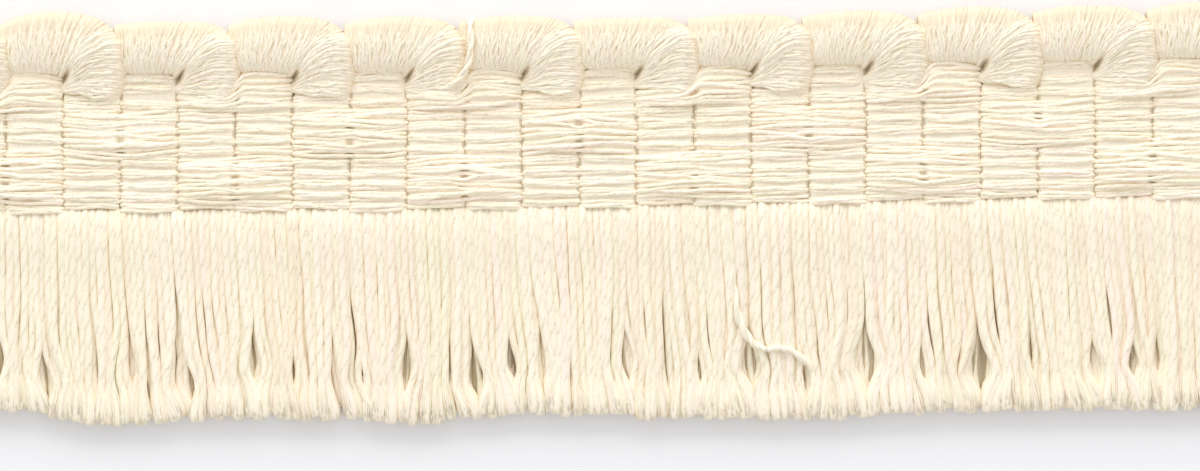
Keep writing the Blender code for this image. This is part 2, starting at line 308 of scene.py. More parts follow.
def yarn_material(look):
    """Cream cotton: a tint for each yarn, two plies that wind round once in turn_mm with painted shade
    between them, and fibres.
    """
    material = bpy.data.materials.new(look.name)
    material.use_nodes = True
    nodes, links = material.node_tree.nodes, material.node_tree.links
    shader = nodes["Principled BSDF"]
    shader.inputs["Roughness"].default_value = YARN_ROUGHNESS
    shader.inputs["Specular IOR Level"].default_value = YARN_SPECULAR
    tint = attribute_node(nodes, "tint")
    fibre = attribute_node(nodes, "fibre")
    twist = attribute_node(nodes, "twist")
    ramp = nodes.new("ShaderNodeValToRGB")
    elements = ramp.color_ramp.elements
    while len(elements) < len(CREAMS):
        elements.new(0.5)
    for element, (place, colour) in zip(elements, CREAMS):
        element.position = place
        element.color = (*(channel * look.depth for channel in colour), 1.0)
    links.new(tint.outputs["Fac"], ramp.inputs["Fac"])
    parts = nodes.new("ShaderNodeSeparateXYZ")
    links.new(fibre.outputs["Vector"], parts.inputs["Vector"])
    around = maths(nodes, links, "ARCTAN2", parts.outputs["Z"], parts.outputs["Y"])
    winding = maths(nodes, links, "MULTIPLY", parts.outputs["X"], 2 * math.pi / look.turn_mm)
    wave = maths(nodes, links, "COSINE", maths(nodes, links, "MULTIPLY_ADD", around, PLIES, winding))
    valley = maths(nodes, links, "MULTIPLY_ADD", wave, VALLEY_GAIN, VALLEY_CUT)
    valley = maths(nodes, links, "SMOOTH_MAX", valley, 0.0, VALLEY_BLEND)
    valley = maths(nodes, links, "MULTIPLY", valley, twist.outputs["Fac"])
    stretch = nodes.new("ShaderNodeMapping")
    stretch.inputs["Scale"].default_value = FIBRE_STRETCH
    links.new(fibre.outputs["Vector"], stretch.inputs["Vector"])
    noise = nodes.new("ShaderNodeTexNoise")
    noise.inputs["Scale"].default_value = FLECK_SCALE
    noise.inputs["Detail"].default_value = FLECK_DETAIL
    noise.inputs["Roughness"].default_value = FLECK_ROUGHNESS
    links.new(stretch.outputs["Vector"], noise.inputs["Vector"])
    fleck = nodes.new("ShaderNodeMapRange")
    fleck.inputs["From Min"].default_value = FLECK_DARKEST_AT
    fleck.inputs["From Max"].default_value = FLECK_NONE_AT
    fleck.inputs["To Min"].default_value = 1.0
    fleck.inputs["To Max"].default_value = 0.0
    links.new(noise.outputs["Fac"], fleck.inputs["Value"])
    dark = maths(nodes, links, "MULTIPLY", fleck.outputs["Result"], look.streak)
    # Painted shade: the lines between the plies are darkened in colour, patchily along the fibres,
    # besides their bump
    patchy = maths(nodes, links, "MULTIPLY_ADD", fleck.outputs["Result"], PATCHY_PART, EVEN_PART)
    patchy = maths(nodes, links, "MULTIPLY", valley, patchy)
    dark = maths(nodes, links, "MULTIPLY_ADD", patchy, look.ply, dark)
    darker = nodes.new("ShaderNodeMix")
    darker.data_type = "RGBA"
    darker.inputs["B"].default_value = (*(channel * look.depth for channel in FLECK_AND_PLY_SHADE_COLOUR), 1.0)
    links.new(dark, darker.inputs["Factor"])
    links.new(ramp.outputs["Color"], darker.inputs["A"])
    links.new(darker.outputs["Result"], shader.inputs["Base Color"])
    relief = nodes.new("ShaderNodeBump")
    relief.inputs["Strength"].default_value = BUMP_STRENGTH
    relief.inputs["Distance"].default_value = BUMP_DEPTH
    height = maths(nodes, links, "MULTIPLY_ADD", valley, -1.0, noise.outputs["Fac"])
    links.new(height, relief.inputs["Height"])
    links.new(relief.outputs["Normal"], shader.inputs["Normal"])
    return material


# Fringe: twisted yarns in three layers, with loosened and frayed ends. Places along a yarn run
# from 0 at its root to 1 at its cut end.
YarnLayer = namedtuple(
    "YarnLayer", "name per_column radius_mm z_mm drop_mm short_mm rings sides gather frays"
)
LAYERS = [
    YarnLayer("fringe_face_yarns", 9, 0.73, 2.72, 0.45, 0.0, 36, 10, 2.6, 11),
    YarnLayer("fringe_middle_yarns", 9, 0.8, 2.15, 0.6, 0.9, 24, 8, 2.2, 0),
    YarnLayer("fringe_back_yarns", 8, 0.62, 1.1, 0.2, 1.8, 16, 6, 0.4, 0),
]
FRINGE_SEED = 11
ROOT_Y = 1.6 * MM
RING_POWER = 1.2
YARN_RADII = (0.9, 1.08)
YARN_TINTS = (0.2, 1)

# Where a yarn's root and tip lie, and how it runs from one to the other. LOCK_WAVE_STEP is how
# many radians the shared wave moves on in a metre of roots.
ROOT_STRAY_MM = 0.14
TIP_STRAY_MM = 0.8
END_STRAY_MM = (-0.8, 0.3)
SWAY_POWER = 1.3
LOCK_WAVE, LOCK_WAVE_STEP = Wave(0.45, 0.9), 230
YARN_WAVE = Wave(0.34, 1.3)
YARN_RIPPLE = Wave(0.13, 2.9)
WILD_SHARE = 0.2
WILD_REACH_MM = 1.6
WILD_POWER = 1.6

# The openings between locks: where each is widest, which strays in a wave of OPENING_STRAY_STEP
# radians a lock, how it tapers, and how early locks part
OPENING_AT = 0.8
OPENING_STRAY, OPENING_STRAY_STEP = 0.045, 2.4
OPENING_ABOVE, OPENING_BELOW = 0.12, 0.085
PARTING_SHARE, PARTING_FROM, PARTING_TO = 0.05, 0.2, 0.7

# A yarn's height: fullest just below its root, level at its cut end, and lower beside another lock
BELLY_MM, BELLY_AT, BELLY_SPREAD, BELLY_FULL_Z_MM = 0.5, 0.14, 0.14, 2.75
ROOT_DIP_MM, ROOT_DIP_TO = 1.2, 0.05
UNDER_RISE_MM, UNDER_RISE_FROM, UNDER_RISE_TO = 0.3, 0.1, 0.5
HEIGHT_WAVE = Wave(0.14, 1.4)
HEIGHT_STRAY_MM = (-0.2, 0.15)
ALTERNATE_MM = 0.12
WILD_LIFT_MM = 0.4
SEAM_DROP_MM, SEAM_POWER, SEAM_FROM, SEAM_TO = 0.38, 5, 0.05, 0.4
LEVEL_SHARE, LEVEL_FROM, LEVEL_TO = 0.75, 0.76, 0.94

# The loosened end of a yarn: it widens as its plies come apart, and narrows at the very end
LOOSE_FROM, LOOSE_TO, LOOSE_WIDENING = 0.82, 0.93, 0.48
UNTWISTED_AT = 0.9
NARROW_FROM, NARROWING = 0.97, 0.3

LockTarget = namedtuple("LockTarget", "tip pull length edge_share widest")


def lock_targets(roots):
    """For each root x: its tip x, its pull towards the middle of its lock, its length, how near
    it is to the lock's edge, and how far down the opening beside it is widest."""
    edges = np.array([column_left(0) / MM] + [lock.root_mm for lock in LOCKS]) * MM
    tips = np.array([column_left(0) / MM] + [lock.tip_mm for lock in LOCKS]) * MM
    gaps = np.array([0.0] + [lock.gap_mm for lock in LOCKS]) * MM
    middles = (edges[:-1] + edges[1:]) / 2
    lengths = np.interp(roots, middles, [lock.length_mm * MM for lock in LOCKS])
    lock = np.clip(np.searchsorted(edges, roots) - 1, 0, len(LOCKS) - 1)
    share = (roots - edges[lock]) / (edges[lock + 1] - edges[lock])
    tip = mix(tips[lock], tips[lock + 1], share)
    pull = mix(gaps[lock] / 2, -gaps[lock + 1] / 2, share)
    widest = OPENING_AT + OPENING_STRAY * np.sin(OPENING_STRAY_STEP * np.arange(len(edges)))
    nearest = np.where(share < 0.5, widest[lock], widest[lock + 1])
    return LockTarget(tip, pull, lengths, np.abs(2 * share - 1), nearest)


def fringe_paths(layer, offset, draw):
    places = (np.arange(layer.per_column) + 0.5 + offset) / layer.per_column
    roots = np.array([column_left(c) + p * PITCH for c in range(COLUMNS) for p in places])
    count = len(roots)
    roots = roots + draw.uniform(-ROOT_STRAY_MM, ROOT_STRAY_MM, count) * MM
    edge = COLUMNS * PITCH / 2 - layer.radius_mm * MM
    roots = np.clip(roots, -edge, edge)
    target = lock_targets(roots)
    t = (1 - (1 - np.linspace(0, 1, layer.rings)) ** RING_POWER)[None, :]
    tip = target.tip + draw.uniform(-TIP_STRAY_MM, TIP_STRAY_MM, count) * MM
    wild = (draw.uniform(0, 1, count) < WILD_SHARE)[:, None]
    widest = target.widest[:, None]
    opening = bump(t, widest, np.where(t < widest, OPENING_ABOVE, OPENING_BELOW))
    opening = opening + PARTING_SHARE * smooth(PARTING_FROM, PARTING_TO, t)
    x = mix(roots[:, None], tip[:, None], t**SWAY_POWER) + layer.gather * target.pull[:, None] * opening
    shared = roots[:, None] * LOCK_WAVE_STEP
    phases = draw.uniform(0, 2 * math.pi, (3, count, 1))
    x = x + LOCK_WAVE.size_mm * MM * t * swing(LOCK_WAVE, t, shared)
    x = x + YARN_WAVE.size_mm * MM * t * swing(YARN_WAVE, t, phases[0])
    x = x + YARN_RIPPLE.size_mm * MM * np.sqrt(t) * swing(YARN_RIPPLE, t, phases[1])
    x = x + wild * draw.uniform(-WILD_REACH_MM, WILD_REACH_MM, count)[:, None] * MM * t**WILD_POWER
    x = np.clip(x, -edge, edge)
    end = -(target.length - layer.short_mm * MM + draw.uniform(*END_STRAY_MM, count) * MM)
    y = mix(ROOT_Y, end[:, None], t)
    belly = BELLY_MM * bump(t, BELLY_AT, BELLY_SPREAD) - ROOT_DIP_MM * (1 - smooth(0.0, ROOT_DIP_TO, t))
    is_under = layer is not LAYERS[0]
    rise = UNDER_RISE_MM * is_under * (1 - smooth(UNDER_RISE_FROM, UNDER_RISE_TO, t))
    z = layer.z_mm + rise + belly * (layer.z_mm / BELLY_FULL_Z_MM) - layer.drop_mm * t**2
    uneven = HEIGHT_WAVE.size_mm * t * swing(HEIGHT_WAVE, t, phases[2]) + wild * WILD_LIFT_MM * t
    stray = ALTERNATE_MM * (-1) ** np.arange(count) + draw.uniform(*HEIGHT_STRAY_MM, count)
    uneven = uneven + stray[:, None]
    seam = SEAM_DROP_MM * target.edge_share[:, None] ** SEAM_POWER
    uneven = uneven - seam * smooth(SEAM_FROM, SEAM_TO, t)
    z = z + uneven * (1 - LEVEL_SHARE * smooth(LEVEL_FROM, LEVEL_TO, t))
    z = np.maximum(z * MM, layer.radius_mm * MM)
    return np.stack([x, y, z], axis=-1), t


def loosened(t):
    """How much wider than its twisted part a yarn is along its cut end."""
    wider = 1 + LOOSE_WIDENING * smooth(LOOSE_FROM, LOOSE_TO, t)
    return wider * (1 - NARROWING * smooth(NARROW_FROM, 1.0, t))


# Frays: where on the yarn a fibre leaves and ends, how it leans and curls, and its thickness
FRAY_FROM = (0.78, 0.94)
FRAY_PAST_END = (-0.05, 0.006)
FRAY_OVERSHOOT = 12
FRAY_LEAN = 0.45
FRAY_SUNK = 0.04 * MM
FRAY_CURL_MM, FRAY_CURL_TURN = 0.35, 2
FRAY_LOWEST = 0.2 * MM
FRAY_RADII_MM = (0.12, 0.2)
FRAY_TAPER = (0.3, 1.0, 1.0, 0.6)
FRAY_TINTS = (0.3, 1)
FRAY_SIDES = 4


def add_frays(mesh, paths, t, radius, number, draw):
    """Fine fibres on a yarn's loosened end, where it spreads into a brush."""
    count = len(paths)
    picks = np.repeat(np.arange(count), number)
    many = len(picks)
    begin = draw.uniform(*FRAY_FROM, many)[:, None]
    stop = 1 + draw.uniform(*FRAY_PAST_END, many)[:, None]
    steps = np.linspace(0, 1, len(FRAY_TAPER))[None, :]
    place = mix(begin, stop, steps)
    line = np.empty((many, steps.size, 3))
    for axis in range(3):
        for row, yarn in enumerate(picks):
            line[row, :, axis] = np.interp(place[row], t[0], paths[yarn, :, axis])
    over = np.maximum(place - 1, 0)
    line += over[..., None] * (paths[picks, -1] - paths[picks, -3])[:, None, :] * FRAY_OVERSHOOT
    spin = draw.uniform(-FRAY_LEAN, math.pi + FRAY_LEAN, many)[:, None]
    away = radius * loosened(np.minimum(place, NARROW_FROM)) - FRAY_SUNK
    curl = draw.uniform(-FRAY_CURL_MM, FRAY_CURL_MM, many)[:, None] * MM * np.sin(steps * FRAY_CURL_TURN)
    line[..., 0] += np.cos(spin) * away + curl
    line[..., 2] += np.sin(spin) * away
    line[..., 2] = np.maximum(line[..., 2], FRAY_LOWEST)
    thick = draw.uniform(*FRAY_RADII_MM, many)[:, None] * MM * np.array(FRAY_TAPER)
    mesh.add(line, (1, 0, 0), thick, draw.uniform(*FRAY_TINTS, many), FRAY_SIDES)


# The loose yarn on the fringe and the yarn rolled over the fifth loop: pixels of the photo that
# each passes, with a height
PhotoKnot = namedtuple("PhotoKnot", "across down z_mm")
LOOSE_STRAND = [
    PhotoKnot(728, 255, 2.2),
    PhotoKnot(733, 290, 2.9),
    PhotoKnot(738, 315, 3.2),
    PhotoKnot(744, 331, 3.4),
    PhotoKnot(753, 343, 3.5),
    PhotoKnot(765, 349, 3.5),
    PhotoKnot(780, 348, 3.4),
    PhotoKnot(793, 352, 3.2),
    PhotoKnot(806, 362, 2.8),
    PhotoKnot(816, 374, 2.1),
]
LOOSE_PLY, LOOSE_TURNS = 0.44 * MM, 4
ROLLED_STRAND = [
    PhotoKnot(470, 18, 5.4),
    PhotoKnot(471, 32, 6.7),
    PhotoKnot(471, 48, 6.9),
    PhotoKnot(469, 62, 6.6),
    PhotoKnot(464, 73, 6.1),
    PhotoKnot(456, 82, 5.4),
    PhotoKnot(446, 87, 4.6),
    PhotoKnot(436, 89, 3.9),
]
ROLLED_LOOP = 4
ROLLED_PLY, ROLLED_TURNS = 0.34 * MM, 2.5
TWISTED_RINGS = 60
PLY_LEAN = -0.3
PLY_OVERLAP = 1.15
PLY_TINTS = [0.5, 0.6]


def photo_point(knot):
    """The point of the straight trim that the photo shows at a knot's pixel."""
    x = (knot.across - PHOTO_MIDDLE_X) * PHOTO_SCALE
    return x, (PHOTO_BASE_Y - knot.down) * PHOTO_SCALE - bend(x), knot.z_mm * MM


def spline(knots, count):
    """A smooth line through the knots."""
    knots = np.array(knots, float)
    padded = np.concatenate([[2 * knots[0] - knots[1]], knots, [2 * knots[-1] - knots[-2]]])
    place = np.linspace(0, len(knots) - 1 - 1e-9, count)
    span = place.astype(int)
    u = (place - span)[:, None]
    a, b, c, d = (padded[span + k] for k in range(4))
    square, cube = 2 * a - 5 * b + 4 * c - d, 3 * b - a - 3 * c + d
    return 0.5 * (2 * b + (c - a) * u + square * u**2 + cube * u**3)


def add_twisted(mesh, knots, turns, ply):
    """A yarn of two plies through points of the photo."""
    path = spline([photo_point(knot) for knot in knots], TWISTED_RINGS)
    turn = 2 * math.pi * np.linspace(0, turns, len(path))
    around = np.stack([np.cos(turn), PLY_LEAN * np.sin(turn), np.sin(turn)], axis=-1) * ply
    mesh.add(np.stack([path + around, path - around]), (1, 0, 0), ply * PLY_OVERLAP, PLY_TINTS)


def make_fringe(material, fray_material):
    draw = np.random.RandomState(FRINGE_SEED)
    frays = YarnMesh()
    for number, layer in enumerate(LAYERS):
        paths, t = fringe_paths(layer, 0.5 * (number % 2), draw)
        count = len(paths)
        radius = layer.radius_mm * MM * draw.uniform(*YARN_RADII, count)[:, None]
        radius = radius * loosened(t)
        twist = np.repeat(1 - smooth(LOOSE_FROM, UNTWISTED_AT, t), count, axis=0)
        yarns = YarnMesh()
        yarns.add(paths, (1, 0, 0), radius, draw.uniform(*YARN_TINTS, count), layer.sides, twist)
        nodes = ["fringe"] if number == 0 else []
        finish_piece(yarns.build(layer.name, material), "fringe_yarn", *nodes)
        if layer.frays:
            add_frays(frays, paths, t, layer.radius_mm * MM, layer.frays, draw)
    finish_piece(frays.build("fringe_frayed_ends", fray_material), "fringe_yarn")
    loose = YarnMesh()
    add_twisted(loose, LOOSE_STRAND, LOOSE_TURNS, LOOSE_PLY)
    finish_piece(loose.build("fringe_loose_yarn", material), "fringe_yarn")


# The fringe's dense inside, with ridges that run down it, painted a shade brown for the openings between
# locks. Steps of ridges are radians in a mm.
FRINGE_CORE_REACH = 0.995
FRINGE_CORE_LINES = (961, 12)
FRINGE_CORE_SHORT = 2.6 * MM
FRINGE_CORE_BASE_Z = 0.05 * MM
FRINGE_CORE_Z = 1.05 * MM
RIDGE_HEIGHT = 0.3 * MM
FINE_RIDGE_STEP, FINE_RIDGE_SWAY, FINE_RIDGE_SWAY_STEP = 6.3, 0.6, 0.3
WIDE_RIDGE_SHARE, WIDE_RIDGE_STEP, WIDE_RIDGE_SLANT = 0.6, 2.3, 0.2
FRINGE_CORE_SEED = 5
FRINGE_CORE_SHADE_TINTS = (0, 0.09)


def make_fringe_core(material):
    """The dense inside of the fringe, painted a shade brown with random streaks, which shows where locks
    part.
    """
    across = np.linspace(-FRINGE_CORE_REACH, FRINGE_CORE_REACH, FRINGE_CORE_LINES[0])
    down = np.linspace(0, 1, FRINGE_CORE_LINES[1])
    x = across[:, None] * COLUMNS * PITCH / 2 * np.ones(len(down))
    length = lock_targets(x[:, 0]).length[:, None] - FRINGE_CORE_SHORT
    y = mix(ROOT_Y, -length, down[None, :])
    sway = FINE_RIDGE_SWAY * np.sin(y / MM * FINE_RIDGE_SWAY_STEP)
    ridge = np.sin(x / MM * FINE_RIDGE_STEP + sway)
    ridge = ridge + WIDE_RIDGE_SHARE * np.sin(x / MM * WIDE_RIDGE_STEP + y / MM * WIDE_RIDGE_SLANT)
    z = FRINGE_CORE_Z + RIDGE_HEIGHT * ridge * np.sin(math.pi * down) ** 0.5
    # Painted shade: a brown near tint 0, with random streaks across
    shades = np.random.RandomState(FRINGE_CORE_SEED).uniform(*FRINGE_CORE_SHADE_TINTS, len(across))
    core = YarnMesh()
    core.add_slab(np.stack([x, y, z], axis=-1), FRINGE_CORE_BASE_Z, np.repeat(shades, len(down)))
    finish_piece(core.build("fringe_core", material), "fringe_yarn")


# Heading: rows of fine strands over each column, and floats over pairs of columns
HEADING_SEED = 23
STRAND_RADIUS = 0.395 * MM
STRAND_RADII = (0.88, 1.1)
STRAND_TINTS = (0.2, 1)
DIVE_Z = 2.6 * MM
PHASE_SPAN = 6
TOP_SAG, TOP_SAG_FROM = 0.6 * MM, 24 * MM

# Rows: three strands each, bound down over one column
ROW_STRANDS = 3
ROW_SPREAD = 0.46 * MM
ROW_SPREADS = (0.85, 1.12)
ROW_PITCH = 2.3 * MM
SHORT_TOP_PITCH_SHARE = 0.7
ROW_PLACE_STRAY = 0.08
ROW_RINGS = 14
ROW_ARCH = 4
ROW_END_MM = (-0.05, 0.5)
ROW_WAVE = Wave(0.15, 0.6)
ROW_RIPPLE = Wave(0.06, 1.6)
ROW_LIFT = Wave(0.07, 1.1)
ROW_SIDE_DROP = 0.14 * MM
ROW_STRAY_MM = 0.14
ROW_MARGIN = 0.1 * MM
SHORT_OVER_MM, TALL_OVER_MM = 0.5, -0.2
BOUND_Z = 3.75 * MM
EDGE_DROP, EDGE_DROP_FROM, EDGE_DROP_TO = 0.6 * MM, 0.2 * MM, 1.8 * MM

# The groove widens where a loop comes out of it
MOUTH = 0.7 * MM
MOUTH_FROM, MOUTH_TO = SHORT_TOP - 2.5 * MM, SHORT_TOP + 1.5 * MM

# Floats: strands over a short and a tall column, parted over the groove between them
FloatBand = namedtuple("FloatBand", "name short_low short_high tall_low tall_high strands")
FLOAT_BANDS = [
    FloatBand("bottom", 2.7 * MM, 10.6 * MM, 2.7 * MM, 10.6 * MM, 15),
    FloatBand("middle", 11.2 * MM, 19.1 * MM, 11.2 * MM, 19.1 * MM, 15),
    FloatBand("top", 19.9 * MM, 22.9 * MM, 19.9 * MM, 27.2 * MM, 13),
]
FLOAT_Z = 4.45 * MM
FLOAT_RINGS = 30
FLOAT_ARCH = 3.6
FLOAT_END_MM = (-0.05, 0.45)
FLOAT_PLACE_STRAY = 0.15
FLOAT_BOWS_MM = (-0.45, 0.25)
FLOAT_WAVE = Wave(0.36, 0.6)
FLOAT_RIPPLE = Wave(0.15, 1.6)
FLOAT_LIFT = Wave(0.12, 0.9)
FLOAT_EDGE_DROP, FLOAT_EDGE_POWER = 0.5 * MM, 4
FLOAT_STRAY_MM = (-0.22, 0.16)
STEP_BEFORE, STEP_AFTER = 2.0 * MM, 2.4 * MM
FLOAT_PARTS = (0.3, 0.7)
PART_MM, PART_SPREAD, PART_LENGTH, PART_DIP_MM = 0.55, 0.17, 1.8 * MM, 0.4


def is_float(column, band):
    block = (column - 1) // 2
    return (band == "middle") == (block % 2 == 1)


def float_columns(block):
    """The first and last column under a block's floats."""
    return max(2 * block + 1, 0), min(2 * block + 2, COLUMNS - 1)


def band_edges(band, middle, x):
    """A band's lower and upper edge at x, which step from its short column to its tall one."""
    over = smooth(middle - STEP_BEFORE, middle + STEP_AFTER, x)
    return mix(band.short_low, band.tall_low, over), mix(band.short_high, band.tall_high, over)


def crowded_ends(count):
    """Places from 0 to 1 that lie closer together towards both ends."""
    return (1 - np.cos(np.pi * np.linspace(0, 1, count))) / 2


def row_path(column, y, crown, draw):
    """A strand that rises out of one groove and dives into the next."""
    across = crowded_ends(ROW_RINGS)
    mouth = MOUTH * smooth(MOUTH_FROM, MOUTH_TO, y)
    left = column_left(column) + draw.uniform(*ROW_END_MM) * MM + (mouth if column % 2 else 0)
    right = column_left(column + 1) - draw.uniform(*ROW_END_MM) * MM - (0 if column % 2 else mouth)
    x = mix(left, right, across)
    waves = swing(ROW_WAVE, across, draw.uniform(0, PHASE_SPAN))
    ripple = swing(ROW_RIPPLE, across, draw.uniform(0, PHASE_SPAN))
    waves = ROW_WAVE.size_mm * waves + ROW_RIPPLE.size_mm * ripple
    lift = ROW_LIFT.size_mm * swing(ROW_LIFT, across, draw.uniform(0, PHASE_SPAN))
    z = mix(DIVE_Z, crown, arch_of(across, ROW_ARCH)) + lift * MM
    sag = TOP_SAG * smooth(TOP_SAG_FROM, TALL_TOP, y) * (2 * across - 1) ** 2
    return np.stack([x, y + waves * MM - sag, z], axis=-1)


def float_path(block, band, place, part, bow, draw):
    """A strand that floats over both columns of a block, from one deep groove to the next."""
    first, last = float_columns(block)
    across = crowded_ends(FLOAT_RINGS)
    left = column_left(first) + draw.uniform(*FLOAT_END_MM) * MM
    right = column_left(last + 1) - draw.uniform(*FLOAT_END_MM) * MM
    middle = column_left(2 * block + 2)
    x = mix(left, right, across)
    low, high = band_edges(band, middle, x)
    y = mix(low, high, place)
    wave = swing(FLOAT_WAVE, across, draw.uniform(0, PHASE_SPAN))
    ripple = swing(FLOAT_RIPPLE, across, draw.uniform(0, PHASE_SPAN))
    waves = bow * (2 * across - 1) ** 2 + FLOAT_WAVE.size_mm * wave
    waves = waves + FLOAT_RIPPLE.size_mm * ripple
    near = bump(x, middle, PART_LENGTH)
    y = y - TOP_SAG * smooth(TOP_SAG_FROM, TALL_TOP, y) * ((x - middle) / PITCH * 2 - 1) ** 2
    y = y + waves * MM + near * PART_MM * MM * np.sign(place - part) * bump(place, part, PART_SPREAD)
    edge_drop = FLOAT_EDGE_DROP * np.abs(2 * place - 1) ** FLOAT_EDGE_POWER
    crown = FLOAT_Z - edge_drop + draw.uniform(*FLOAT_STRAY_MM) * MM
    lift = FLOAT_LIFT.size_mm * swing(FLOAT_LIFT, across, draw.uniform(0, PHASE_SPAN))
    z = mix(DIVE_Z, crown, arch_of(across, FLOAT_ARCH)) + (lift - PART_DIP_MM * near) * MM
    return np.stack([x, y, z], axis=-1)


def row_heights(column, draw):
    """Middles of the rows that are bound down over one column, and each row's crown."""
    short = column % 2
    low, top = (SHORT_LOW, SHORT_TOP) if short else (TALL_LOW, TALL_TOP)
    spans = [(low + ROW_MARGIN, BOTTOM_BAND[0] + ROW_MARGIN)]
    if not is_float(column, "bottom"):
        spans.append(BOTTOM_BAND)
    if not is_float(column, "middle"):
        spans.append(MIDDLE_BAND)
    if not is_float(column, "top"):
        spans.append((TOP_BAND_LOW, top + (SHORT_OVER_MM if short else TALL_OVER_MM) * MM))
    heights = []
    for start, stop in spans:
        pitch = ROW_PITCH * (SHORT_TOP_PITCH_SHARE if short and start == TOP_BAND_LOW else 1)
        number = max(1, round((stop - start) / pitch))
        step = (stop - start) / number
        for row in range(number):
            stray = draw.uniform(-ROW_PLACE_STRAY, ROW_PLACE_STRAY)
            heights.append(start + (row + 0.5 + stray) * step)
    inner = [smooth(EDGE_DROP_FROM, EDGE_DROP_TO, min(y - low, top - y)) for y in heights]
    return [(y, BOUND_Z - EDGE_DROP * (1 - share)) for y, share in zip(heights, inner)]


def make_heading(material):
    draw = np.random.RandomState(HEADING_SEED)
    rows, floats = [], []
    for column in range(COLUMNS):
        for y, crown in row_heights(column, draw):
            for n in range(ROW_STRANDS):
                side = n - (ROW_STRANDS - 1) / 2
                spread = side * ROW_SPREAD * draw.uniform(*ROW_SPREADS)
                drop = ROW_SIDE_DROP * abs(side) - draw.uniform(-ROW_STRAY_MM, ROW_STRAY_MM) * MM
                rows.append(row_path(column, y + spread, crown - drop, draw))
    for block in range(-1, COLUMNS // 2):
        for band in FLOAT_BANDS:
            if not is_float(2 * block + 1, band.name):
                continue
            part, bow = draw.uniform(*FLOAT_PARTS), draw.uniform(*FLOAT_BOWS_MM)
            for n in range(band.strands):
                stray = draw.uniform(-FLOAT_PLACE_STRAY, FLOAT_PLACE_STRAY)
                place = (n + stray) / (band.strands - 1)
                floats.append(float_path(block, band, place, part, bow, draw))
    for name, paths, nodes in (("heading_floats", floats, ["heading"]), ("heading_rows", rows, [])):
        count = len(paths)
        strands = YarnMesh()
        thick = STRAND_RADIUS * draw.uniform(*STRAND_RADII, count)[:, None]
        strands.add(np.array(paths), (0, 1, 0), thick, draw.uniform(*STRAND_TINTS, count))
        finish_piece(strands.build(name, material), "heading_yarn", *nodes)


# The bundles under the rows, with fine ticks of thread down them and a groove on both sides, with painted
# shade between the ticks and beside the grooves
BUNDLE_SEED = 31
BUNDLE_LINES = 15
BUNDLE_Z, BUNDLE_END_Z = 3.65 * MM, 2.2 * MM
GROOVE_Z, GROOVE_END_Z = 2.9 * MM, 2.0 * MM
BUNDLE_BASE_Z = 0.3 * MM
BUNDLE_LOW_INSET, BUNDLE_TOP_INSET = 0.2 * MM, 0.1 * MM
BUNDLE_ARCH, BUNDLE_ARCH_ROOT = 3.0, 0.6
BUNDLE_END_ARCH = 14
TICK_PITCH = 0.48 * MM
TICK_RELIEF = 0.09 * MM
TICK_TINTS, TICK_GAP_SHADE_TINT = (0.4, 0.8), 0.19
GROOVE_SHADE_TINT, GROOVE_SHADE_WIDTH = 0.1, 0.1

# The filling under each float
PAD_LINES = (36, 10)
PAD_OVER = 0.02
PAD_INSET = 0.3 * MM
PAD_DEPTH = 0.08 * MM
PAD_EDGE_DROP = 0.6 * MM
PAD_DIP, PAD_DIP_LENGTH = 1.2 * MM, 0.7 * MM
PAD_BASE_Z = 1.0 * MM
PAD_TINT = 0.4


def make_cores():
    """The top points and tints of the bundle under each column, with painted shade between its ticks and
    beside its grooves.
    """
    draw = np.random.RandomState(BUNDLE_SEED)
    ticks = round(PITCH / TICK_PITCH)
    across = np.linspace(0, 1, 2 * ticks + 1)
    down = np.linspace(0, 1, BUNDLE_LINES)
    arch = arch_of(across, BUNDLE_ARCH, BUNDLE_ARCH_ROOT)
    ends = arch_of(down, BUNDLE_END_ARCH)
    is_tick = np.arange(len(across)) % 2
    ridge = np.where(is_tick, TICK_RELIEF, -TICK_RELIEF)
    crown, valley = mix(BUNDLE_END_Z, BUNDLE_Z, ends), mix(GROOVE_END_Z, GROOVE_Z, ends)
    z = mix(valley[None, :], crown[None, :], arch[:, None]) + ridge[:, None] * arch[:, None]
    for column in range(COLUMNS):
        low, top = (SHORT_LOW, SHORT_TOP) if column % 2 else (TALL_LOW, TALL_TOP)
        x = column_left(column) + across[:, None] * PITCH * np.ones(len(down))
        y = mix(low + BUNDLE_LOW_INSET, top - BUNDLE_TOP_INSET, down)[None, :] * np.ones((len(across), 1))
        # Painted shade: darker tints in the gaps between ticks and towards each groove
        tint = np.where(is_tick, draw.uniform(*TICK_TINTS), TICK_GAP_SHADE_TINT)
        # The outer sides of the first and the last column have no groove
        inward = np.minimum(across + (column == 0), 1 - across + (column == COLUMNS - 1))
        tint = np.maximum(tint * smooth(0.0, GROOVE_SHADE_WIDTH, inward), GROOVE_SHADE_TINT)
        yield np.stack([x, y, z], axis=-1), np.repeat(tint, len(down))


def float_pad(block, band):
    """The top of the filling that keeps a block's floats up, with a dip in its middle groove."""
    first, last = float_columns(block)
    across = np.linspace(0, 1, PAD_LINES[0])[:, None]
    place = np.linspace(-PAD_OVER, 1 + PAD_OVER, PAD_LINES[1])[None, :]
    x = mix(column_left(first) + PAD_INSET, column_left(last + 1) - PAD_INSET, across)
    middle = column_left(2 * block + 2)
    low, high = band_edges(band, middle, x)
    y = mix(low, high, place)
    crown = FLOAT_Z - PAD_DEPTH - PAD_EDGE_DROP * np.abs(2 * place - 1) ** FLOAT_EDGE_POWER
    z = mix(DIVE_Z, crown, arch_of(across, FLOAT_ARCH)) - PAD_DIP * bump(x, middle, PAD_DIP_LENGTH)
    return np.stack([x + 0 * y, y, z], axis=-1)


def make_bundles(material):
    slabs = YarnMesh()
    for top, tint in make_cores():
        slabs.add_slab(top, BUNDLE_BASE_Z, tint)
    for block in range(-1, COLUMNS // 2):
        for band in FLOAT_BANDS:
            if is_float(2 * block + 1, band.name):
                slabs.add_slab(float_pad(block, band), PAD_BASE_Z, PAD_TINT)
    finish_piece(slabs.build("heading_bundles", material), "heading_yarn")


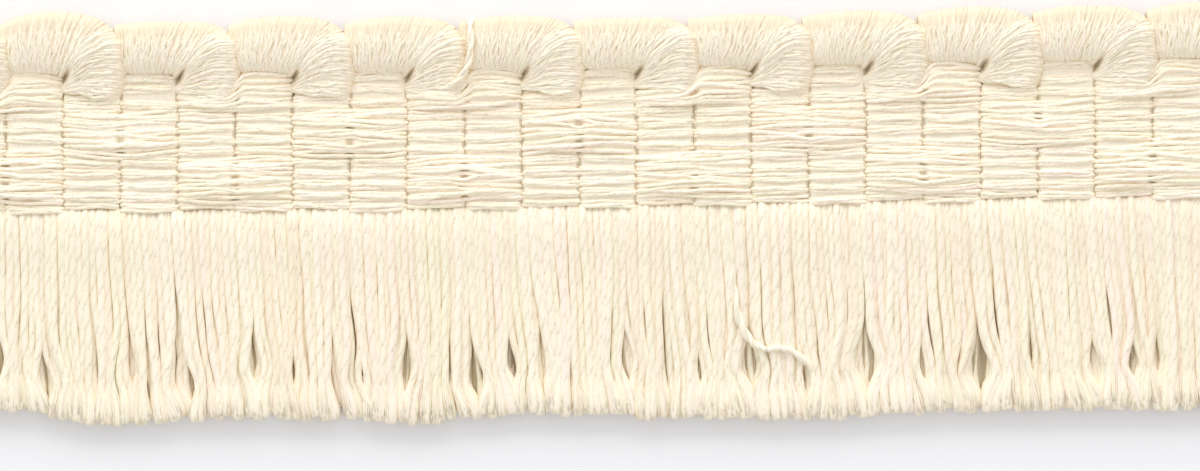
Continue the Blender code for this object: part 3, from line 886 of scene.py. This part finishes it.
# Loops: strands that fan from each deep groove and roll over to the back. Shares of a fan run
# from 0 at its left end, over the crown, to 1 at its lower right end.
LOOP_SEED = 47
LOOP_CROWNS_MM = [37.4, 38.8, 36.9, 37.8, 37.5, 37.4, 36.7, 36.9, 37.2, 37.6, 37.5, 37.7]
LOOP_SIDE_Y = 36.2 * MM
LoopKnot = namedtuple("LoopKnot", "reach z_mm")
LOOP_PROFILE = [
    LoopKnot(-0.12, 3.2),
    LoopKnot(0.0, 5.0),
    LoopKnot(0.11, 5.75),
    LoopKnot(0.28, 6.2),
    LoopKnot(0.56, 6.5),
    LoopKnot(0.84, 6.2),
    LoopKnot(0.95, 5.0),
    LoopKnot(0.99, 3.0),
    LoopKnot(0.93, 1.2),
    LoopKnot(0.7, 0.5),
]

# The line that a loop's strands start from, along the heading's upper edge and down its groove
LOOP_ROOT_SUNK = 0.1 * MM
LOOP_ROOT_LEFT, LOOP_ROOT_RIGHT = 0.3 * MM, 0.2 * MM
LOOP_ROOT_SLANT_MM = 0.5

# The outline that they reach
LOOP_TOP_SHARE = 0.74
LOOP_OVERHANG = 0.9 * MM
LOOP_INSET = 0.8 * MM
CROWN_SKEW = 0.82
LOOP_SHOULDER, SHOULDER_POWER = 3.0 * MM, 2.2
LOOP_BULGE = 0.4 * MM
LOOP_CORNER, LOOP_CORNER_POWER = 1.3 * MM, 4
LOOP_BELOW = 1.3 * MM
LOOP_TUCK, TUCK_AT, TUCK_SPREAD = 0.03, 0.76, 0.1

# Its height over the profile: lower at both ends of the fan, with a pit where it is pinched
LEFT_SINK, LEFT_SINK_TO = 0.25, 0.13
RIGHT_SINK, RIGHT_SINK_FROM = 0.3, 0.74
PINCH_SHARE = 0.74
PIT_DEPTH, PIT_SPREAD, PIT_REACH = 0.5, 0.12, 0.22

# How far its lines bow towards +Y on the way out, and over which shares of the fan
LOOP_ARC, LOOP_ARC_FROM, LOOP_ARC_FULL, LOOP_ARC_FADES = 2.4 * MM, 0.52, 0.74, 0.8

# Its strands
LOOP_STRANDS = 86
LOOP_RINGS, LOOP_SIDES = 19, 6
LOOP_RADIUS = 0.3 * MM
LOOP_RADII = (0.85, 1.15)
LOOP_WIDENING, LOOP_WIDE_FROM, LOOP_WIDE_TO = 0.5, 0.15, 0.9
LOOP_PLACE_STRAY = 0.4
LOOP_CROWDING = 0.05
LOOP_WAVE_SIZE, LOOP_WAVE_STEP = 0.3 * MM, 5
LOOP_RIPPLE_SIZE, LOOP_RIPPLE_STEP = 0.19 * MM, 13
LOOP_STRAY_TO, LOOP_HELD_FROM, LOOP_HELD_TO = 0.3, 0.55, 0.9
LOOP_STRAY_MM = (-0.1, 0.06)

# The filling under them
FILL_KNOTS = 8
FILL_LINES = (40, 18)
FILL_ENDS = (0.01, 0.99)
FILL_DEPTH = 0.05 * MM
FILL_RISE, FILL_RISE_FROM, FILL_RISE_TO = 0.3 * MM, 0.4, 0.85
FILL_LOWEST, FILL_BASE_Z = 0.9 * MM, 0.5 * MM

# Tints: random for each strand, with painted shade at the pinch and towards the outline, most on the
# brightly lit crown, and on the fill, which is painted lighter in the shaded fan
LOOP_TINTS = (0.4, 1)
PINCH_SHADE_SPREAD, PINCH_SHADE_FROM, PINCH_SHADE_TO, PINCH_SHADE_POWER = 0.15, 0.02, 0.26, 2.0
FILL_SHADE_TINT, FAN_FILL_LIGHT_TINT = 0.22, 0.35
FAN_TINT_FROM, FAN_TINT_TO = 0.55, 0.75
FAN_FROM, FAN_TO = 0.6, 0.75
CROWN_SHADE_TINT, CROWN_SHADE_FROM, CROWN_SHADE_TO = 0.137, 0.35, 0.78
RIM_SHADE_TINT, RIM_SHADE_FROM, RIM_SHADE_TO = 0.21, 0.62, 0.92
RIM_SHADE_BASE, RIM_SHADE_OWN = 0.8, 0.3


def loop_root(groove_x, share):
    left_x = groove_x - PITCH - LOOP_ROOT_LEFT
    down = np.clip(share * 2 - 1, 0, 1)
    x = mix(left_x, groove_x - LOOP_ROOT_RIGHT, np.clip(share * 2, 0, 1))
    x = x + LOOP_ROOT_SLANT_MM * down * MM
    return np.stack([x, mix(TALL_TOP - LOOP_ROOT_SUNK, SHORT_TOP, down)], axis=-1)


def loop_outline(groove_x, crown_y, share):
    left_x, right_x = groove_x - PITCH - LOOP_OVERHANG, groove_x + PITCH + LOOP_OVERHANG
    over = np.clip(share / LOOP_TOP_SHARE, 0, 1)
    down = np.clip((share - LOOP_TOP_SHARE) / (1 - LOOP_TOP_SHARE), 0, 1)
    x = mix(left_x, right_x, over) + LOOP_BULGE * np.sin(math.pi * down)
    x = x - LOOP_CORNER * down**LOOP_CORNER_POWER
    y = mix(LOOP_SIDE_Y, crown_y, np.sin(math.pi * over**CROWN_SKEW)) - LOOP_INSET
    y = y - LOOP_SHOULDER * np.clip(over * 3 - 2, 0, 1) ** SHOULDER_POWER
    return np.stack([x, mix(y, SHORT_TOP - LOOP_BELOW, down)], axis=-1)


def loop_surface(groove_x, crown_y, share, profile):
    """Points over a loop, one line of them for each share of the way round its fan, their heights,
    and each line's direction. Lines towards the corner stop a little short of the outline."""
    root, rim = loop_root(groove_x, share), loop_outline(groove_x, crown_y, share)
    rim = mix(rim, root, LOOP_TUCK * bump(share, TUCK_AT, TUCK_SPREAD)[:, None])
    reach, height = profile[None, :, 0], profile[None, :, 1] * MM
    rise = 1 - LEFT_SINK * (1 - smooth(0, LEFT_SINK_TO, share))
    rise = rise - RIGHT_SINK * smooth(RIGHT_SINK_FROM, 1.0, share)
    pit = PIT_DEPTH * bump(share, PINCH_SHARE, PIT_SPREAD)[:, None] * (1 - smooth(0.0, PIT_REACH, reach))
    flat = root[:, None, :] + (rim - root)[:, None, :] * reach[..., None]
    arc = LOOP_ARC * smooth(LOOP_ARC_FROM, LOOP_ARC_FULL, share)[:, None]
    arc = arc * np.sin(math.pi * np.clip(reach, 0, 1))
    flat[..., 1] += arc * (1 - smooth(LOOP_ARC_FADES, 1.0, share))[:, None]
    return flat, height * (rise[:, None] - pit), unit(rim - root)


def shade_toward_rim(tint, share, reach):
    """The tint over a loop, with painted shade towards the outline, most along the lit crown."""
    fan = smooth(FAN_FROM, FAN_TO, share)[:, None]
    rim = mix(CROWN_SHADE_TINT, RIM_SHADE_TINT, fan) * (RIM_SHADE_BASE + RIM_SHADE_OWN * tint)
    start, stop = mix(CROWN_SHADE_FROM, RIM_SHADE_FROM, fan), mix(CROWN_SHADE_TO, RIM_SHADE_TO, fan)
    return mix(tint, rim, smooth(start, stop, reach))


def add_loop_strands(mesh, groove_x, crown_y, draw):
    stray = draw.uniform(-LOOP_PLACE_STRAY, LOOP_PLACE_STRAY, LOOP_STRANDS)
    share = (np.arange(LOOP_STRANDS) + 0.5 + stray) / LOOP_STRANDS
    share = share - LOOP_CROWDING * np.sin(2 * math.pi * share)
    profile = spline(LOOP_PROFILE, LOOP_RINGS)
    flat, z, direction = loop_surface(groove_x, crown_y, share, profile)
    across = np.stack([-direction[:, 1], direction[:, 0]], axis=-1)
    phases = draw.uniform(0, PHASE_SPAN, (2, LOOP_STRANDS, 1))
    reach = profile[None, :, 0]
    wave = LOOP_WAVE_SIZE * np.sin(reach * LOOP_WAVE_STEP + phases[0])
    wave = wave + LOOP_RIPPLE_SIZE * np.sin(reach * LOOP_RIPPLE_STEP + phases[1])
    inner = 1 - smooth(LOOP_HELD_FROM, LOOP_HELD_TO, reach)
    flat = flat + across[:, None, :] * (wave * smooth(0, LOOP_STRAY_TO, reach) * inner)[..., None]
    z = z + draw.uniform(*LOOP_STRAY_MM, LOOP_STRANDS)[:, None] * inner * MM
    z = np.maximum(z, LOOP_RADIUS)
    paths = np.concatenate([flat, z[..., None]], axis=-1)
    side = np.concatenate([across, np.zeros((LOOP_STRANDS, 1))], axis=-1)
    thick = LOOP_RADIUS * draw.uniform(*LOOP_RADII, LOOP_STRANDS)[:, None]
    thick = thick * (1 + LOOP_WIDENING * smooth(LOOP_WIDE_FROM, LOOP_WIDE_TO, reach))
    # Painted shade where the strands are pinched at their roots
    pinch_shade = bump(share, PINCH_SHARE, PINCH_SHADE_SPREAD)[:, None] * (1 - smooth(PINCH_SHADE_FROM, PINCH_SHADE_TO, reach))
    tint = draw.uniform(*LOOP_TINTS, LOOP_STRANDS)[:, None] * (1 - pinch_shade) ** PINCH_SHADE_POWER
    mesh.add(paths, side, thick, shade_toward_rim(tint, share, reach), LOOP_SIDES)


def add_loop_fill(mesh, groove_x, crown_y):
    profile = spline(LOOP_PROFILE[:FILL_KNOTS], FILL_LINES[1])
    share = np.linspace(*FILL_ENDS, FILL_LINES[0])
    flat, z, _ = loop_surface(groove_x, crown_y, share, profile)
    reach = profile[None, :, 0]
    z = z - FILL_DEPTH + FILL_RISE * smooth(FILL_RISE_FROM, FILL_RISE_TO, reach)
    face = np.concatenate([flat, np.maximum(z, FILL_LOWEST)[..., None]], axis=-1)
    # Painted shade on the fill, lifted as painted light in the shaded fan
    tint = mix(FILL_SHADE_TINT, FAN_FILL_LIGHT_TINT, smooth(FAN_TINT_FROM, FAN_TINT_TO, share))[:, None]
    mesh.add_slab(face, FILL_BASE_Z, shade_toward_rim(tint, share, reach).ravel())


def make_loops(material):
    draw = np.random.RandomState(LOOP_SEED)
    for number, crown_mm in enumerate(LOOP_CROWNS_MM):
        groove_x, crown_y = column_left(2 * number + 1), crown_mm * MM
        loop = YarnMesh()
        add_loop_strands(loop, groove_x, crown_y, draw)
        add_loop_fill(loop, groove_x, crown_y)
        if number == ROLLED_LOOP:
            add_twisted(loop, ROLLED_STRAND, ROLLED_TURNS, ROLLED_PLY)
        name = f"loop_{number + 1:02d}"
        finish_piece(loop.build(name + "_strands", material), "loop_yarn", name)


# Backing web: a thin woven sheet on the flat back
WEB_LOW, WEB_HIGH = 0.1 * MM, 0.9 * MM
WEB_SHORT = 0.6 * MM
WEB_INSET = 0.4 * MM
WEB_LINES = (97, 9)
WEB_TINT = 0.2


def make_web(material):
    width = COLUMNS * PITCH - WEB_SHORT
    low, top = SHORT_LOW + WEB_INSET, SHORT_TOP - WEB_INSET
    x = np.linspace(-width / 2, width / 2, WEB_LINES[0])[:, None] * np.ones((1, WEB_LINES[1]))
    y = np.linspace(low, top, WEB_LINES[1])[None, :] * np.ones((WEB_LINES[0], 1))
    slab = YarnMesh()
    slab.add_slab(np.stack([x, y, np.full(x.shape, WEB_HIGH)], -1), WEB_LOW, WEB_TINT)
    web = finish_piece(slab.build("backing_web", material), "heading_yarn")


# Stage, light and camera
FLOOR_SIZE = 6
FLOOR_COLOUR = (0.841, 0.84, 0.86, 1)
FLOOR_ROUGHNESS, FLOOR_SPECULAR = 0.9, 0.1
WHITE = (1.0, 1.0, 1.0)
WORLD_STRENGTH = 0.873
KEY_PLACE, KEY_SIZE, KEY_POWER = (-0.1, 0.99, 0.45), (2.0, 0.76), 12.6
DIFFUSE_BOUNCES, MAX_BOUNCES = 8, 12
LENS_MM, SENSOR_MM = 200, 36
PHOTO_SCALE_Z = 3 * MM


def make_stage():
    bpy.ops.mesh.primitive_plane_add(size=FLOOR_SIZE)
    floor = bpy.context.object
    floor.name = "floor"
    material = bpy.data.materials.new("floor_white")
    material.use_nodes = True
    shader = material.node_tree.nodes["Principled BSDF"]
    shader.inputs["Base Color"].default_value = FLOOR_COLOUR
    shader.inputs["Roughness"].default_value = FLOOR_ROUGHNESS
    shader.inputs["Specular IOR Level"].default_value = FLOOR_SPECULAR
    floor.data.materials.append(material)


def area_light(name, place, size, power):
    """A white area light that faces the middle of the trim."""
    data = bpy.data.lights.new(name, "AREA")
    data.shape = "RECTANGLE"
    data.size, data.size_y = size
    data.energy = power
    data.color = WHITE
    light = bpy.data.objects.new(name, data)
    bpy.context.scene.collection.objects.link(light)
    light.location = place
    light.rotation_mode = "QUATERNION"
    light.rotation_quaternion = (-light.location).to_track_quat("-Z", "Y")


def make_light():
    world = bpy.data.worlds.new("studio")
    world.use_nodes = True
    background = world.node_tree.nodes["Background"]
    background.inputs["Color"].default_value = (*WHITE, 1)
    background.inputs["Strength"].default_value = WORLD_STRENGTH
    bpy.context.scene.world = world
    area_light("key", KEY_PLACE, KEY_SIZE, KEY_POWER)
    bpy.context.scene.view_settings.view_transform = "Standard"
    bpy.context.scene.cycles.diffuse_bounces = DIFFUSE_BOUNCES
    bpy.context.scene.cycles.max_bounces = MAX_BOUNCES


def make_camera():
    """Straight above the photo's middle, at the distance where its scale holds at PHOTO_SCALE_Z."""
    data = bpy.data.cameras.new("camera")
    data.lens, data.sensor_width = LENS_MM, SENSOR_MM
    camera = bpy.data.objects.new("camera", data)
    bpy.context.scene.collection.objects.link(camera)
    width = PHOTO_WIDTH * PHOTO_SCALE
    x = (PHOTO_WIDTH / 2 - PHOTO_MIDDLE_X) * PHOTO_SCALE
    y = (PHOTO_BASE_Y - PHOTO_HEIGHT / 2) * PHOTO_SCALE + FRAME_SHIFT_Y
    camera.location = (x, y, width * LENS_MM / SENSOR_MM + PHOTO_SCALE_Z)
    bpy.context.scene.camera = camera


def main():
    make_camera()
    make_stage()
    make_light()
    heading_yarn = yarn_material(HEADING_LOOK)
    bundle_yarn = yarn_material(BUNDLE_LOOK)
    loop_yarn = yarn_material(LOOP_LOOK)
    fringe_yarn = yarn_material(FRINGE_LOOK)
    fray_yarn = yarn_material(FRAY_LOOK)
    make_fringe(fringe_yarn, fray_yarn)
    make_fringe_core(bundle_yarn)
    make_heading(heading_yarn)
    make_bundles(bundle_yarn)
    make_loops(loop_yarn)
    make_web(bundle_yarn)


main()
